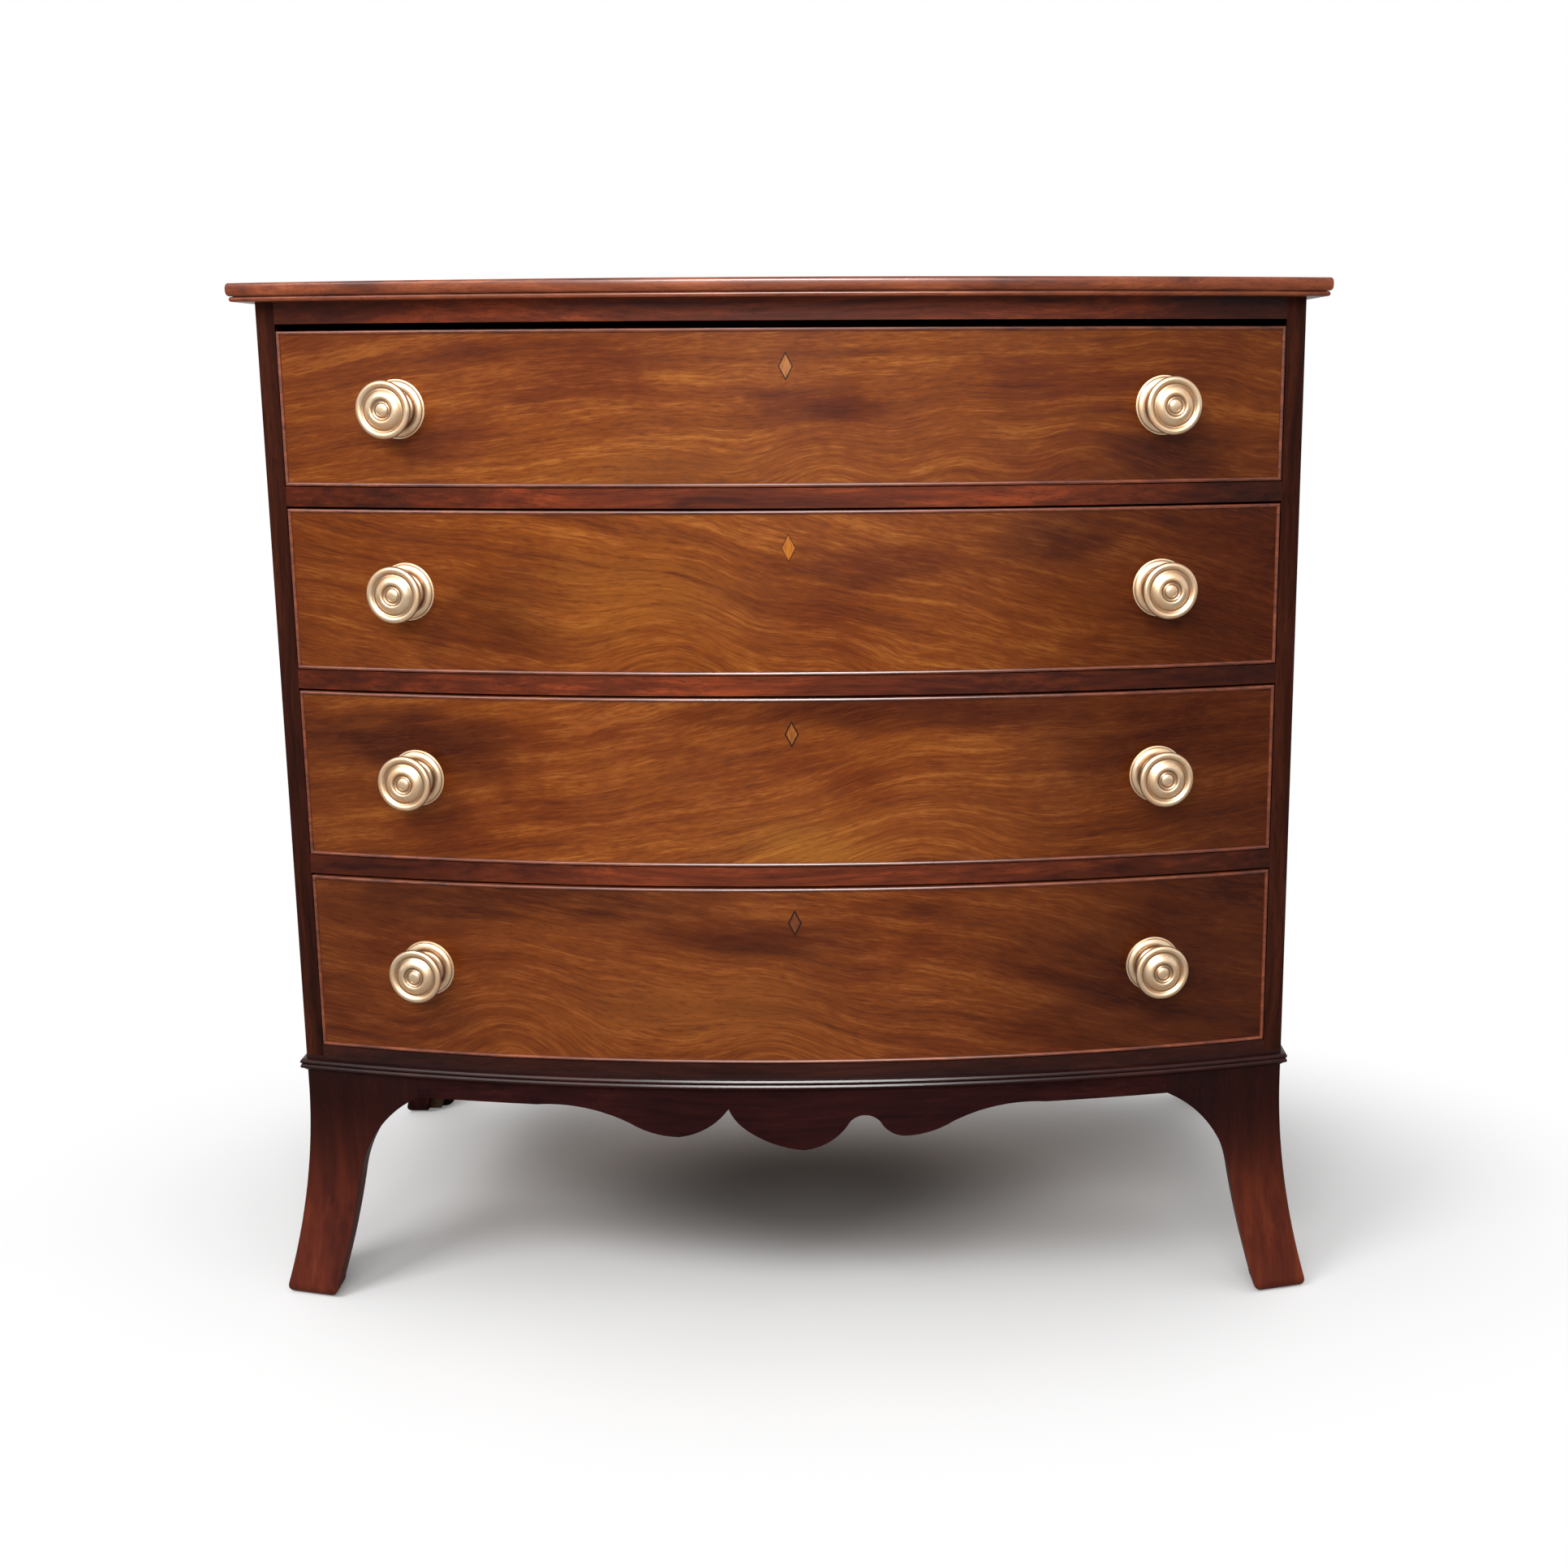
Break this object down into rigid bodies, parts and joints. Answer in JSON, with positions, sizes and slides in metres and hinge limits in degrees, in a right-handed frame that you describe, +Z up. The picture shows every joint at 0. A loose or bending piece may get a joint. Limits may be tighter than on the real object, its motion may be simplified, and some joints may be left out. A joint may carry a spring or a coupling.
{
  "type": "bow front chest of drawers",
  "caption": "Mahogany bow front chest of long graduated drawers with turned brass knobs, cock beads, a shaped apron and splayed bracket feet.",
  "frame": {"origin": "on the floor, in the middle of the whole chest's plan box", "axes": "+Z up; the bowed front and its knobs face -Y; +X is to the right of someone facing the front"},
  "size_m": [0.9532, 0.5669, 0.9193],
  "materials": {
    "mahogany_veneer": "figured mahogany veneer, french polished",
    "cock_bead_mahogany": "solid mahogany strip, french polished",
    "dark_mahogany": "dark solid mahogany, french polished",
    "boxwood": "pale inlay wood, polished with the front",
    "oak": "quarter-sawn oak drawer lining, waxed",
    "pine": "aged pine, planed and unfinished",
    "brass": "turned and polished brass, softly aged"
  },
  "bodies": {
    "carcase": {"top_board": "dark_mahogany", "side_left": "dark_mahogany", "side_right": "dark_mahogany", "top_front_rail": "dark_mahogany", "bottom_front_rail": "dark_mahogany", "divider_rail_1": "dark_mahogany", "divider_rail_2": "dark_mahogany", "divider_rail_3": "dark_mahogany", "top_back_rail": "pine", "carcase_bottom": "pine", "dust_boards": "pine", "drawer_runners": "pine", "top_kickers": "pine", "drawer_stops": "pine", "back_boards": "pine", "base_moulding_front": "dark_mahogany", "base_moulding_sides": "dark_mahogany", "apron": "dark_mahogany", "side_skirts": "dark_mahogany", "front_feet": "dark_mahogany", "back_feet": "dark_mahogany", "foot_blocks": "pine"},
    "drawer_1": {"drawer_1_front": "mahogany_veneer", "drawer_1_cock_beads": "cock_bead_mahogany", "drawer_1_side_left": "oak", "drawer_1_side_right": "oak", "drawer_1_back": "oak", "drawer_1_bottom": "oak", "drawer_1_knobs": "brass", "drawer_1_lozenge": "boxwood"},
    "drawer_2": {"drawer_2_front": "mahogany_veneer", "drawer_2_cock_beads": "cock_bead_mahogany", "drawer_2_side_left": "oak", "drawer_2_side_right": "oak", "drawer_2_back": "oak", "drawer_2_bottom": "oak", "drawer_2_knobs": "brass", "drawer_2_lozenge": "boxwood"},
    "drawer_3": {"drawer_3_front": "mahogany_veneer", "drawer_3_cock_beads": "cock_bead_mahogany", "drawer_3_side_left": "oak", "drawer_3_side_right": "oak", "drawer_3_back": "oak", "drawer_3_bottom": "oak", "drawer_3_knobs": "brass", "drawer_3_lozenge": "boxwood"},
    "drawer_4": {"drawer_4_front": "mahogany_veneer", "drawer_4_cock_beads": "cock_bead_mahogany", "drawer_4_side_left": "oak", "drawer_4_side_right": "oak", "drawer_4_back": "oak", "drawer_4_bottom": "oak", "drawer_4_knobs": "brass", "drawer_4_lozenge": "boxwood"}
  },
  "joints": [
    {"name": "drawer_1_slide", "type": "slide", "parent": "carcase", "child": "drawer_1", "axis": [0, -1, 0], "range_m": [0, 0.36]},
    {"name": "drawer_2_slide", "type": "slide", "parent": "carcase", "child": "drawer_2", "axis": [0, -1, 0], "range_m": [0, 0.36]},
    {"name": "drawer_3_slide", "type": "slide", "parent": "carcase", "child": "drawer_3", "axis": [0, -1, 0], "range_m": [0, 0.36]},
    {"name": "drawer_4_slide", "type": "slide", "parent": "carcase", "child": "drawer_4", "axis": [0, -1, 0], "range_m": [0, 0.36]}
  ]
}
